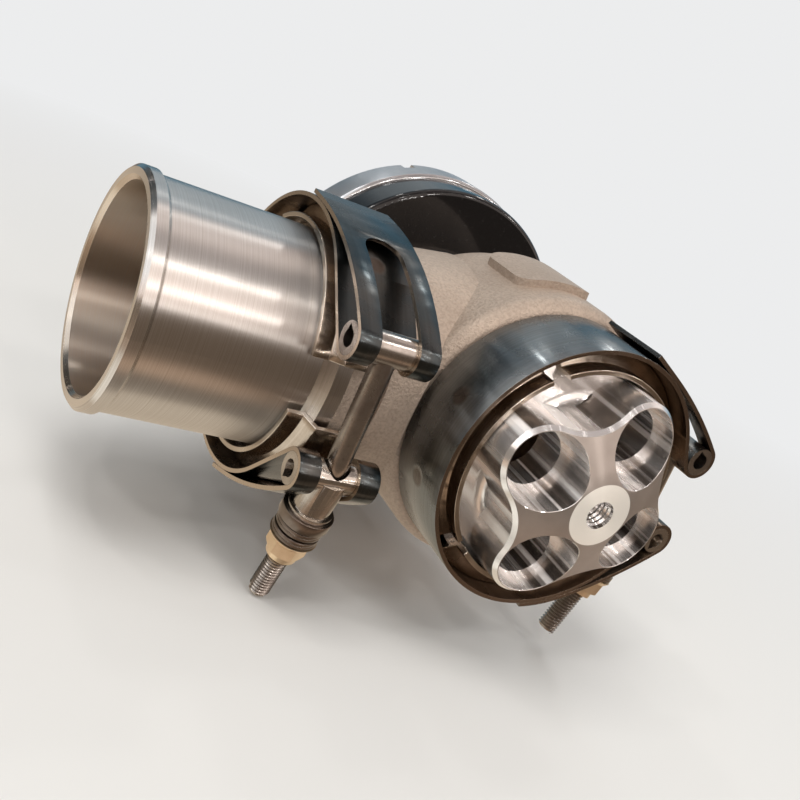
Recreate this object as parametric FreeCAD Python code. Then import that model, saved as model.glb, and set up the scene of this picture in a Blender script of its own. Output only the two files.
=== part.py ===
import FreeCAD, Part
import math
import os
from FreeCAD import Vector

# Anti-lag valve: a cast tee body with a charge-air spigot on its side and a machined four-way
# runner block on its end, each held by a two-inch V-band clamp. A spring-closed poppet valve
# in the body is lifted by the diaphragm actuator on the far end.
# Millimetres. It is drawn about the point where the valve axis crosses the side port's axis, and
# then moved so that the origin is the centre of the runner block's hub face.
# Valve axis along Y: runner block towards -Y, actuator towards +Y. Side port towards -X. +Z is up.

# Side tube and its V flanges
TUBE_R = 25.4
TUBE_WALL = 2.5
TUBE_BORE_R = TUBE_R - TUBE_WALL
TUBE_END_X = -97.35
TUBE_LIP_PROUD = 0.85
TUBE_LIP_R = TUBE_R + TUBE_LIP_PROUD
TUBE_LIP_LENGTH = 3.35
SIDE_JOINT_X = -51.4
FLANGE_PROUD = 3.6
RIM_R = TUBE_R + FLANGE_PROUD
RIM_WIDTH = 3.5
V_ANGLE = 28.0
SEAT_GAP = 0.05
BAND_PROUD = 3.5
BAND_R = RIM_R + BAND_PROUD

# Port and body
PORT_JOINT_Y = -36.9
BARREL_PROUD = 2.5
BARREL_R = BAND_R + BARREL_PROUD
BARREL_BACK_Y = 1.5
SHOULDER_R = 24.0
NECK_R = 24.0
FRONT_CORNER_R = 4.0
BRANCH_ROOT_WALL = 5.1
BRANCH_ROOT_R = TUBE_R + BRANCH_ROOT_WALL
BRANCH_NECK_WALL = 1.8
BRANCH_NECK_R = TUBE_R + BRANCH_NECK_WALL
STRAP_TO_BODY = 0.8
BODY_TOP_OVER_BRANCH = 1.5
BODY_TOP_Y = BRANCH_ROOT_R + BODY_TOP_OVER_BRANCH
BODY_TOP_FLANGE_R = 25.5
BODY_TOP_FLANGE_THICK = 3.6
CHAMBER_STEP = 0.9
CHAMBER_R = TUBE_BORE_R - CHAMBER_STEP
CHAMBER_TOP_Y = 15.0
PAD_HEIGHT = 1.8
PAD_ANGLE = 96.0
PAD_HALF_WIDTH = 10.8
PAD_Y = (-17.5, 1.0)
PAD_CORNER_R = 4.0

# Valve
SEAT_RING_PROUD = 1.1
SEAT_RING_R = TUBE_BORE_R + SEAT_RING_PROUD
SEAT_RING_THICK = 4.0
SEAT_RING_WALL = 5.5
SEAT_BORE_R = SEAT_RING_R - SEAT_RING_WALL
SEAT_LAND = 2.0
HEAD_EDGE = 1.4
STEM_R = 4.0
STEM_RUN = 0.05
GUIDE_R = 6.0
GUIDE_PRESS = 0.02
VALVE_LIFT = 10.0

# Clamps, in a frame of their own: axis along Y, bolt side towards +X, T head towards +Z
BAND_THICK = 0.95
BAND_WIDTH = 19.0
SLOT_WIDTH = 9.2
SLOT_END_ANGLE = 64.0
SLOT_SIDE_ROOM = 0.3
STACK_ROOM = 0.3
TAB_STRAIGHT_LIMIT = 18.0
RETAINER_THICK = 1.2
RETAINER_LIP_ROOM = 1.2
RETAINER_LIP_R = TUBE_R + RETAINER_LIP_ROOM
RETAINER_HALF_WIDTH = 9.3
RETAINER_GAP = 0.05
RETAINER_SPANS = {"upper": (13.5, 121.0), "back": (129.0, 224.0), "lower": (232.0, 346.5)}
BARREL_HEAD_R = 3.45
BARREL_HOLE_R = 1.9
BARREL_HOLE_DEPTH = 6.0
LOOP_GAP = 0.05
BOLT_R = 2.5
BOLT_BEND_R = 10.0
BOLT_BEND_ABOVE = 3.0
THREAD_PITCH = 0.8
NUT_TURNS = 4
TRUNNION_BORE_R = 3.1
STUB_R = 4.3
STUB_LENGTH = 9.5
STUB_FOOT = 0.9
CUP_R = 5.85
CUP_THICK = 0.6
CUP_LENGTH = 2.6
WASHER_R = 5.45
WASHER_BORE_R = 2.8
WASHER_THICK = 0.8
WASHER_RISE = 0.3
WASHER_COUNT = 6
NUT_FLANGE_R = 5.5
NUT_FLANGE_THICK = 1.2
NUT_FLATS = 8.0
NUT_HEX_HEIGHT = 3.4
NUT_COLLAR_R = 3.6
NUT_COLLAR_HEIGHT = 1.5
NUT_RUN = 0.05

# Each clamp: T head centre, trunnion centre, lean of the threaded end, the bolt's length below the
# trunnion, and for the strap's two folded ends the angle where the tab leaves the band and the
# angle of its tip
CLAMPS = {
    "side": {"head": (BAND_R + 5.0, 15.6), "trunnion": (BAND_R + 5.0, -13.8), "lean": 12.0, "below": 35.0,
             "upper_tab": (86.0, 94.5), "lower_tab": (74.0, 83.0)},
    "port": {"head": (BAND_R + 2.0, 13.0), "trunnion": (BAND_R + 3.05, -9.3), "lean": 13.3, "below": 36.0,
             "upper_tab": (66.0, 80.5), "lower_tab": (60.0, 81.0)},
}

# Runner block
HUB_Y = -58.96
HUB_R = 7.4
HUB_THREAD_R = 3.35
HUB_THREAD_DEPTH = 12.0
RUNNER_ANGLES = (70.5, 160.5, 250.5, 340.5)
RUNNER_R = 8.65
RUNNER_FLOOR_Y = -49.0
RUNNER_PORT_R = 6.8
LOBE_R = 9.65
LOBES_PROUD = 3.35
RUNNER_PITCH_R = TUBE_BORE_R + LOBES_PROUD - LOBE_R
VALLEY_INSIDE = 4.3
VALLEY_R = TUBE_BORE_R - VALLEY_INSIDE
TOP_SLOPE = 17.8
EDGE_CHAMFER = 0.8
BLOCK_FLOOR_FILLET = 3.0
BLOCK_PLENUM_R = TUBE_BORE_R
BLOCK_PLENUM_DEPTH = 3.4

# Actuator
GASKET_THICK = 1.2
BASE_EDGE_R = 1.6
BASE_FLOOR = 5.0
BASE_RIM_R = 39.9
BASE_STEP = 2.6
BASE_RIM_WALL = 3.1
COLLAR_WALL = 3.7
BASE_R = BASE_RIM_R + BASE_STEP
BASE_BORE_R = BASE_RIM_R - BASE_RIM_WALL
COLLAR_R = BASE_RIM_R + COLLAR_WALL
COLLAR_RISE = 12.6
COLLAR_HEIGHT = 10.4
COLLAR_Y = (BODY_TOP_Y + COLLAR_RISE, BODY_TOP_Y + COLLAR_RISE + COLLAR_HEIGHT)
COLLAR_LIP = 2.6
COLLAR_NOTCHES = 6
COLLAR_NOTCH_ANGLE = 110.0
COLLAR_NOTCH_WIDTH = 3.2
COLLAR_NOTCH_DEPTH = 2.4
DIAPHRAGM_RISE = 16.0
DIAPHRAGM_Y = BODY_TOP_Y + DIAPHRAGM_RISE
DIAPHRAGM_THICK = 1.0
CAP_FLANGE_THICK = 3.2
CAP_ROOM = 3.8
CAP_R = BASE_BORE_R - CAP_ROOM
CAP_WALL = 3.0
CAP_RISE = 45.0
CAP_TOP_Y = BODY_TOP_Y + CAP_RISE
CAP_CORNER_R = 7.0
AIR_PORT_R = 4.3
AIR_BOSS_R = 9.0
AIR_BOSS_HEIGHT = 3.0
AIR_PORT_ANGLE = -40.0
SCREW_PITCH_R = 18.0
SCREW_COUNT = 4
SCREW_R = 2.5
SCREW_HEAD_R = 4.25
SCREW_HEAD_HEIGHT = 3.0
SCREW_REACH = 9.0
SEAL_R = 6.2
SEAL_THICK = 3.0
ROLL_ROOM = 11.0
PLATE_R = CAP_R - ROLL_ROOM
PLATE_THICK = 1.8
PISTON_RIM_HEIGHT = 3.0
STEM_TOP_R = 3.0
PISTON_NUT_FLATS = 10.0
PISTON_NUT_HEIGHT = 5.0
OUTER_WIRE_R = 1.5
SPRING_INSIDE = 5.0
OUTER_SPRING_R = PLATE_R - SPRING_INSIDE
INNER_WIRE_R = 1.1
NUT_CORNER_ROOM = 0.5
INNER_SPRING_R = (OUTER_SPRING_R - OUTER_WIRE_R + PISTON_NUT_FLATS / 2 + NUT_CORNER_ROOM) / 2
SPRING_SIZES = {"outer_spring": (OUTER_SPRING_R, OUTER_WIRE_R, 4.0),
                "inner_spring": (INNER_SPRING_R, INNER_WIRE_R, 5.0)}
SPRING_STEPS = 14
SMALL_GAP = 0.1

Y_AXIS = Vector(0, 1, 0)
X_AXIS = Vector(1, 0, 0)
Z_AXIS = Vector(0, 0, 1)
ORIGIN = Vector(0, 0, 0)


def rad(degrees):
    return math.radians(degrees)


def polar(radius, degrees):
    """A point of the XZ plane."""
    return Vector(radius * math.cos(rad(degrees)), 0, radius * math.sin(rad(degrees)))


def closed_face(points):
    """A face from (a, b) corners; a corner of four numbers ends an arc through its first two."""
    edges = []
    start = points[0]
    at = start
    for corner in points[1:] + [start]:
        end = corner[-2:]
        if len(corner) == 4:
            middle = Vector(corner[0], corner[1], 0)
            edges.append(Part.Arc(Vector(*at, 0), middle, Vector(*end, 0)).toShape())
        else:
            edges.append(Part.makeLine(Vector(*at, 0), Vector(*end, 0)))
        at = end
    return Part.Face(Part.Wire(edges))


def turned(points, angle=360.0):
    """A solid turned about Y from (radius, y) corners."""
    return closed_face(points).revolve(ORIGIN, Y_AXIS, angle)


def turned_on_x(points):
    """The same profile turned about X, with y read as x."""
    solid = turned(points)
    solid.rotate(ORIGIN, Z_AXIS, -90)
    return solid


def rod(radius, start, direction, length):
    return Part.makeCylinder(radius, length, start, direction)


def corner_arc(centre, radius, from_deg, to_deg):
    """The arc corner (middle and end) of a profile, for closed_face."""
    middle = rad((from_deg + to_deg) / 2)
    end = rad(to_deg)
    return (centre[0] + radius * math.cos(middle), centre[1] + radius * math.sin(middle),
            centre[0] + radius * math.cos(end), centre[1] + radius * math.sin(end))


def cone_foot(radius):
    """How far from the joint plane the V flange's cone reaches the given radius."""
    return RIM_WIDTH + (RIM_R - radius) * math.tan(rad(V_ANGLE))


def charge_spigot():
    joint = SIDE_JOINT_X
    lip = TUBE_END_X + TUBE_LIP_LENGTH
    edge = 0.9
    return turned_on_x([
        (TUBE_BORE_R, joint), (RIM_R, joint), (RIM_R, joint - RIM_WIDTH),
        (TUBE_R, joint - cone_foot(TUBE_R)), (TUBE_R, lip + edge),
        (TUBE_LIP_R, lip), (TUBE_LIP_R, TUBE_END_X + edge),
        (TUBE_LIP_R - edge, TUBE_END_X), (TUBE_BORE_R + edge, TUBE_END_X),
        (TUBE_BORE_R, TUBE_END_X + edge)])


def cast_pad():
    """The bare raised pad on top of the body."""
    length = PAD_Y[1] - PAD_Y[0]
    plate = Part.makeBox(2 * PAD_HALF_WIDTH, length, BARREL_R,
                         Vector(-PAD_HALF_WIDTH, PAD_Y[0], BARREL_R / 2))
    corners = [edge for edge in plate.Edges
               if abs(edge.tangentAt(edge.FirstParameter).z) > 0.9]
    plate = plate.makeFillet(PAD_CORNER_R, corners)
    plate.rotate(ORIGIN, Y_AXIS, 90 - PAD_ANGLE)
    skin = rod(BARREL_R + PAD_HEIGHT, Vector(0, PAD_Y[0] - 1, 0), Y_AXIS, length + 2)
    return plate.common(skin)


def valve_body():
    joint = PORT_JOINT_Y
    band_back = joint + BAND_WIDTH / 2 + STRAP_TO_BODY
    rise = math.sqrt(SHOULDER_R ** 2 - (SHOULDER_R - (BARREL_R - NECK_R)) ** 2)
    shoulder_deg = math.degrees(math.asin(rise / SHOULDER_R))
    shoulder = corner_arc((BARREL_R - SHOULDER_R, BARREL_BACK_Y), SHOULDER_R, 0, shoulder_deg)
    flange_y = BODY_TOP_Y - BODY_TOP_FLANGE_THICK
    corner = corner_arc((BARREL_R - FRONT_CORNER_R, band_back + FRONT_CORNER_R),
                        FRONT_CORNER_R, -90, 0)
    barrel = turned([
        (0, joint), (RIM_R, joint), (RIM_R, joint + RIM_WIDTH), (TUBE_R, joint + cone_foot(TUBE_R)),
        (TUBE_R, band_back), (BARREL_R - FRONT_CORNER_R, band_back), corner,
        (BARREL_R, BARREL_BACK_Y), shoulder, (NECK_R, flange_y), (BODY_TOP_FLANGE_R, flange_y + 1),
        (BODY_TOP_FLANGE_R, BODY_TOP_Y), (0, BODY_TOP_Y)])
    side = SIDE_JOINT_X
    side_back = side + BAND_WIDTH / 2 + STRAP_TO_BODY
    branch = turned_on_x([
        (0, side), (RIM_R, side), (RIM_R, side + RIM_WIDTH), (TUBE_R, side + cone_foot(TUBE_R)),
        (TUBE_R, side_back), (BRANCH_NECK_R, side_back), (BRANCH_ROOT_R, -20), (0, -20)])
    clamp_room = rod(BAND_R + STRAP_TO_BODY, Y_AXIS * (band_back - 20), Y_AXIS, 20)
    branch = branch.cut(clamp_room)
    casting = barrel.fuse(branch).fuse(cast_pad())
    recess = SEAT_RING_R + SEAT_GAP
    bore = turned([
        (0, joint), (recess, joint), (recess, joint + SEAT_RING_THICK),
        (CHAMBER_R, joint + SEAT_RING_THICK), (CHAMBER_R, CHAMBER_TOP_Y - 8),
        corner_arc((CHAMBER_R - 8, CHAMBER_TOP_Y - 8), 8, 0, 90), (0, CHAMBER_TOP_Y)])
    narrow_x = -CHAMBER_R - 8
    side_bore = turned_on_x([(0, side), (TUBE_BORE_R, side), (TUBE_BORE_R, narrow_x),
                             (CHAMBER_R - 1, narrow_x + 16), (0, narrow_x + 16)])
    guide_bore = rod(GUIDE_R, Vector(0, CHAMBER_TOP_Y - 1, 0), Y_AXIS, BODY_TOP_Y)
    casting = casting.cut(bore).cut(side_bore).cut(guide_bore)
    for spot in screw_spots():
        thread = rod(SCREW_R + SEAT_GAP, Vector(spot.x, BODY_TOP_Y - SCREW_REACH - 1, spot.z),
                     Y_AXIS, SCREW_REACH + 2)
        casting = casting.cut(thread)
    return casting


def seat_ring():
    back = PORT_JOINT_Y + SEAT_RING_THICK - SEAT_GAP
    return turned([
        (SEAT_BORE_R, PORT_JOINT_Y + SEAT_GAP), (SEAT_RING_R, PORT_JOINT_Y + SEAT_GAP),
        (SEAT_RING_R, back), (SEAT_BORE_R + SEAT_LAND, back), (SEAT_BORE_R, back - SEAT_LAND)])


def stem_guide():
    top = BODY_TOP_Y - 0.5
    low = CHAMBER_TOP_Y - 3
    inner = STEM_R + STEM_RUN
    outer = GUIDE_R - GUIDE_PRESS
    return turned([(inner, low), (outer - 1.2, low), (outer, low + 1.2), (outer, top), (inner, top)])


def poppet_valve():
    """Head and stem in one piece: the head's cone lies on the seat ring's land."""
    seat_back = PORT_JOINT_Y + SEAT_RING_THICK - SEAT_GAP
    head_r = SEAT_BORE_R + SEAT_LAND + 0.4
    slack = SEAT_GAP * math.sqrt(2)
    edge = seat_back + slack + 0.4
    face = edge - SEAT_LAND - 1.0
    face_r = head_r - (edge - face)
    return turned([
        (0, face), (face_r, face), (head_r, edge), (head_r, edge + HEAD_EDGE),
        corner_arc((head_r, edge + HEAD_EDGE + head_r - STEM_R), head_r - STEM_R, -90, -180),
        (STEM_R, lower_plate_y()), (STEM_TOP_R, lower_plate_y()), (STEM_TOP_R, stem_end_y()),
        (0, stem_end_y())])


def v_half_profile(radius):
    """Inner and outer half widths of a retainer's leg at a radius."""
    inner = cone_foot(radius) + RETAINER_GAP
    return inner, inner + RETAINER_THICK / math.cos(rad(V_ANGLE))


def retainer(span):
    """One pressed V segment of a clamp, between two angles."""
    crown = BAND_R - BAND_THICK - RETAINER_GAP
    lip_in = RETAINER_LIP_R
    lip_out = lip_in + RETAINER_THICK
    crown_in = crown - RETAINER_THICK
    half = [(crown, v_half_profile(crown)[1]), (lip_out, v_half_profile(lip_out)[1]),
            (lip_out, RETAINER_HALF_WIDTH), (lip_in, RETAINER_HALF_WIDTH),
            (lip_in, v_half_profile(lip_in)[0]), (crown_in, v_half_profile(crown_in)[0])]
    other = [(r, -w) for r, w in reversed(half)]
    segment = turned(half + other, span[1] - span[0])
    segment.rotate(ORIGIN, Y_AXIS, -span[1])
    return segment


def offset_edge(segment, offset):
    """One side of a strip in the XZ plane, at an offset to the left of its travel."""
    if segment[0] == "line":
        start, end = segment[1:]
        along = (end - start).normalize()
        left = Vector(-along.z, 0, along.x) * offset
        return Part.makeLine(start + left, end + left)
    centre, radius, first, last = segment[1:]
    radius += -offset if last > first else offset
    points = [centre + polar(radius, angle) for angle in (first, (first + last) / 2, last)]
    return Part.Arc(*points).toShape()


def strip(segments, thickness, width):
    """Sheet metal of one thickness that follows a path in the XZ plane, centred on Y = 0."""
    left = [offset_edge(segment, thickness / 2) for segment in segments]
    right = [offset_edge(segment, -thickness / 2) for segment in segments]
    caps = [Part.makeLine(left[0].valueAt(left[0].FirstParameter),
                          right[0].valueAt(right[0].FirstParameter)),
            Part.makeLine(left[-1].valueAt(left[-1].LastParameter),
                          right[-1].valueAt(right[-1].LastParameter))]
    wire = Part.Wire(Part.sortEdges(left + right + caps)[0])
    solid = Part.Face(wire).extrude(Vector(0, width, 0))
    solid.translate(Vector(0, -width / 2, 0))
    return solid


def folded_end(head, tab):
    """The strap's path from its tab tip, round the barrel and on to the band, and the band angle."""
    touch, tip = tab
    centre = Vector(head[0], 0, head[1])
    loop_r = BARREL_HEAD_R + LOOP_GAP + BAND_THICK / 2
    band_r = BAND_R - BAND_THICK / 2
    tab_r = BAND_R + SEAT_GAP + BAND_THICK / 2
    lift = polar(1, touch)
    reach = tab_r - loop_r
    shift = (reach ** 2 - centre.Length ** 2) / (2 * (centre.dot(lift) - reach))
    bow_centre = lift * -shift
    bow_r = tab_r + shift
    outer = centre - bow_centre
    loop_start = math.degrees(math.atan2(outer.z, outer.x))
    bearing = math.degrees(math.atan2(centre.z, centre.x))
    leave = bearing + math.degrees(math.acos((band_r + loop_r) / centre.Length))
    inner_point = centre - polar(loop_r, leave)
    if tip - touch < TAB_STRAIGHT_LIMIT:
        tip_point = polar(tab_r / math.cos(rad(tip - touch)), tip)
        end = ("line", tip_point, polar(tab_r, touch))
    else:
        end = ("arc", ORIGIN, tab_r, tip, touch)
    path = [end, ("arc", bow_centre, bow_r, touch, loop_start),
            ("arc", centre, loop_r, loop_start, leave - 180),
            ("line", inner_point, polar(band_r, leave))]
    return path, leave


def flipped(path):
    """The same path mirrored in Z and walked the other way."""
    result = []
    for segment in reversed(path):
        if segment[0] == "line":
            start, end = segment[1:]
            result.append(("line", Vector(end.x, 0, -end.z), Vector(start.x, 0, -start.z)))
        else:
            centre, radius, first, last = segment[1:]
            result.append(("arc", Vector(centre.x, 0, -centre.z), radius, -last, -first))
    return result


def bolt_slot(head, tab, passing_r, lean):
    """What the strap's slot takes away: the tab's middle up to a round end, and the loop's middle."""
    half = SLOT_WIDTH / 2
    sheet = strip(folded_end(head, tab)[0][:3], BAND_THICK + SEAT_GAP, SLOT_WIDTH)
    facing = SLOT_END_ANGLE - math.degrees(math.asin(half / BAND_R))
    keep = Part.makeBox(60, SLOT_WIDTH, 60, Vector(0, -half, -10))
    keep = keep.fuse(rod(half, Z_AXIS * 20, Z_AXIS, 30))
    keep.rotate(ORIGIN, Y_AXIS, 90 - facing)
    reach = BARREL_HEAD_R + 2 + lean * 0.15
    inner_x = head[0] - passing_r - SLOT_SIDE_ROOM - reach * math.sin(rad(lean))
    middle = Part.makeBox(20, SLOT_WIDTH, 2 * reach, Vector(inner_x, -half, head[1] - reach))
    return sheet.common(keep).fuse(middle)


def stack_room(clamp):
    """Room for the thrust cup and washers where the lower tab passes beside them."""
    room = rod(CUP_R + STACK_ROOM, Z_AXIS * -(STUB_LENGTH - STUB_FOOT - STACK_ROOM), -Z_AXIS, 17)
    return along_thread(room, clamp).cut(rod(BAND_R + SEAT_GAP / 2, Y_AXIS * -20, Y_AXIS, 40))


def strap(clamp):
    head = clamp["head"]
    low_head = (clamp["trunnion"][0], -clamp["trunnion"][1])
    upper, upper_leave = folded_end(head, clamp["upper_tab"])
    lower, lower_leave = folded_end(low_head, clamp["lower_tab"])
    band = ("arc", ORIGIN, BAND_R - BAND_THICK / 2, upper_leave, 360 - lower_leave)
    solid = strip(upper + [band] + flipped(lower), BAND_THICK, BAND_WIDTH)
    low_slot = bolt_slot(low_head, clamp["lower_tab"], STUB_R, clamp["lean"]).mirror(ORIGIN, Z_AXIS)
    solid = solid.cut(bolt_slot(head, clamp["upper_tab"], BOLT_R, 0)).cut(low_slot)
    return solid.cut(stack_room(clamp))


def hollow_barrel(hole_angle):
    """A rolled barrel along Y with a drop-shaped opening in each end."""
    half = BAND_WIDTH / 2
    barrel = rod(BARREL_HEAD_R, Vector(0, -half, 0), Y_AXIS, BAND_WIDTH)
    tip = polar(BARREL_HEAD_R - 0.5, hole_angle)
    sides = [polar(BARREL_HOLE_R, hole_angle - 75), polar(BARREL_HOLE_R, hole_angle + 75)]
    drop = Part.Face(Part.makePolygon([tip, sides[0], sides[1], tip]))
    for start in (-half, half - BARREL_HOLE_DEPTH):
        barrel = barrel.cut(rod(BARREL_HOLE_R, Vector(0, start, 0), Y_AXIS, BARREL_HOLE_DEPTH))
        wedge = drop.extrude(Vector(0, BARREL_HOLE_DEPTH, 0))
        wedge.translate(Vector(0, start, 0))
        barrel = barrel.cut(wedge)
    return barrel


def lower_axis(clamp):
    """The trunnion's centre and the direction of the bolt's threaded end."""
    at = Vector(clamp["trunnion"][0], 0, clamp["trunnion"][1])
    lean = rad(clamp["lean"])
    return at, Vector(-math.sin(lean), 0, -math.cos(lean))


def along_thread(solid, clamp):
    """Move what was built down -Z from the origin onto the bolt's threaded end."""
    solid.rotate(ORIGIN, Y_AXIS, clamp["lean"])
    solid.translate(lower_axis(clamp)[0])
    return solid


def t_bolt(clamp):
    """Hollow T head, shank, the slight bend above the trunnion and the threaded end."""
    head = Vector(clamp["head"][0], 0, clamp["head"][1])
    low, down = lower_axis(clamp)
    knee = low - down * BOLT_BEND_ABOVE
    shank = (knee - head).normalize()
    turn = shank.getAngle(down)
    back = BOLT_BEND_R * math.tan(turn / 2)
    first = knee - shank * back
    second = knee + down * back
    middle = knee - (shank * -1 + down).normalize() * -(BOLT_BEND_R / math.cos(turn / 2) - BOLT_BEND_R)
    below = clamp["below"]
    path = Part.Wire([Part.makeLine(head, first), Part.Arc(first, middle, second).toShape(),
                      Part.makeLine(second, low + down * below)])
    section = Part.Wire(Part.makeCircle(BOLT_R, head, shank))
    bolt = path.makePipeShell([section], True, False)
    barrel = hollow_barrel(115)
    barrel.translate(head)
    chamfer = Part.makeCone(BOLT_R + 1, BOLT_R - 0.7, 1.7, Vector(0, 0, -below + 1), -Z_AXIS)
    keep = rod(BOLT_R + 1, ORIGIN + Z_AXIS * 60, -Z_AXIS, 60 + below - 1).fuse(chamfer)
    reach = Part.makeBox(60, 60, 90, Vector(-30, -30, -below + 1))
    keep = along_thread(keep.fuse(reach), clamp)
    return bolt.common(keep).fuse(barrel).removeSplitter()


def trunnion(clamp):
    """The rolled cross barrel in the lower loop with its hollow stub."""
    low, down = lower_axis(clamp)
    barrel = hollow_barrel(-115)
    barrel.translate(low)
    stub = rod(STUB_R, ORIGIN, -Z_AXIS, STUB_LENGTH)
    foot = rod(STUB_R + 0.8, Vector(0, 0, -STUB_LENGTH + STUB_FOOT), -Z_AXIS, STUB_FOOT)
    bore = rod(TRUNNION_BORE_R, Z_AXIS * 10, -Z_AXIS, 10 + STUB_LENGTH + 1)
    return barrel.fuse(along_thread(stub.fuse(foot), clamp)).cut(along_thread(bore, clamp))


def thrust_cup(clamp):
    start = -STUB_LENGTH - SEAT_GAP
    profile = [(WASHER_BORE_R, start), (CUP_R, start), (CUP_R, start - CUP_LENGTH),
               (CUP_R - CUP_THICK + 0.25, start - CUP_LENGTH), (CUP_R - CUP_THICK + 0.25, start - CUP_THICK),
               (WASHER_BORE_R, start - CUP_THICK)]
    return along_thread(stood(turned(profile)), clamp)


def stood(solid):
    """Turn a solid whose axis is Y so that its axis is Z."""
    solid.rotate(ORIGIN, X_AXIS, 90)
    return solid


def washer_start():
    return STUB_LENGTH + SEAT_GAP + CUP_THICK + SEAT_GAP


def washer_step():
    return WASHER_THICK + WASHER_RISE + SEAT_GAP / 2


def spring_washers(clamp):
    """Conical spring washers stacked alternately."""
    washers = []
    for number in range(WASHER_COUNT):
        top = -washer_start() - number * washer_step()
        inner_drop, outer_drop = (WASHER_RISE, 0) if number % 2 else (0, WASHER_RISE)
        profile = [(WASHER_BORE_R, top - inner_drop), (WASHER_R - 0.15, top - outer_drop),
                   (WASHER_R - 0.15, top - outer_drop - WASHER_THICK),
                   (WASHER_BORE_R, top - inner_drop - WASHER_THICK)]
        washers.append(stood(turned(profile)))
    return along_thread(Part.makeCompound(washers), clamp)


def nut_start():
    return washer_start() + WASHER_COUNT * washer_step()


def hex_bar(flats, top, height, base=0.0):
    corner = flats / math.sqrt(3)
    points = [Vector(corner * math.cos(rad(60 * k)), corner * math.sin(rad(60 * k)), top)
              for k in range(7)]
    bar = Part.Face(Part.makePolygon(points)).extrude(Vector(0, 0, -height))
    trim = Part.makeCone(corner + 2, flats / 2 - 0.05, corner + 2 - flats / 2,
                         Vector(0, 0, top - height + (corner + 2 - flats / 2) * 0.6), -Z_AXIS)
    crown = Part.makeCone(flats / 2, flats / 2 + 3 * height, 3 * height * 0.6,
                          Vector(0, 0, top - height), Z_AXIS)
    return bar.common(crown) if base == 0.0 else bar.common(trim)


def lock_nut(clamp):
    """Flanged hexagon nut with a smaller crimped collar."""
    top = -nut_start()
    flange = Part.makeCone(NUT_FLANGE_R, NUT_FLANGE_R - 0.9, NUT_FLANGE_THICK,
                           Vector(0, 0, top), -Z_AXIS)
    hexagon = hex_bar(NUT_FLATS, top - NUT_FLANGE_THICK / 2, NUT_HEX_HEIGHT + NUT_FLANGE_THICK / 2)
    collar_top = top - NUT_FLANGE_THICK - NUT_HEX_HEIGHT
    collar = rod(NUT_COLLAR_R, Vector(0, 0, collar_top + 0.2), -Z_AXIS, NUT_COLLAR_HEIGHT + 0.2)
    bore = rod(BOLT_R + NUT_RUN, Vector(0, 0, top + 1), -Z_AXIS, 20)
    return along_thread(flange.fuse(hexagon).fuse(collar).cut(bore), clamp)


def place_clamp(solid, name):
    """From the clamp's own frame to its joint on the valve."""
    if name == "side":
        solid.rotate(ORIGIN, Z_AXIS, -90)
        solid.translate(Vector(SIDE_JOINT_X, 0, 0))
    else:
        solid.translate(Vector(0, PORT_JOINT_Y, 0))
    return solid


def clamp_parts(name):
    clamp = CLAMPS[name]
    parts = {"strap": strap(clamp), "t_bolt": t_bolt(clamp), "trunnion": trunnion(clamp),
             "thrust_cup": thrust_cup(clamp), "spring_washers": spring_washers(clamp),
             "lock_nut": lock_nut(clamp)}
    for place, span in RETAINER_SPANS.items():
        parts["retainer_" + place] = retainer(span)
    return {name + "_" + node: place_clamp(solid, name) for node, solid in parts.items()}


def lobed_outline():
    """The block's wavy outline: four lobes joined by round valleys, as a closed wire at Y = 0."""
    half = RUNNER_PITCH_R / math.sqrt(2)
    drop = VALLEY_R - half
    valley = (drop ** 2 + half ** 2 - LOBE_R ** 2) / (2 * (LOBE_R - drop))
    edges = []
    for angle in RUNNER_ANGLES:
        lobe = polar(RUNNER_PITCH_R, angle)
        before = polar(VALLEY_R + valley, angle - 45)
        after = polar(VALLEY_R + valley, angle + 45)
        start = lobe + (before - lobe).normalize() * LOBE_R
        end = lobe + (after - lobe).normalize() * LOBE_R
        edges.append(Part.Arc(start, polar(RUNNER_PITCH_R + LOBE_R, angle), end).toShape())
        following = polar(RUNNER_PITCH_R, angle + 90)
        far = following + (after - following).normalize() * LOBE_R
        edges.append(Part.Arc(end, polar(VALLEY_R, angle + 45), far).toShape())
    return Part.Wire(Part.sortEdges(edges)[0])


def lobe_top_y(radius):
    """Height of the block's coned top at a radius."""
    return HUB_Y + (radius - HUB_R) * math.tan(rad(TOP_SLOPE))


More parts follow.
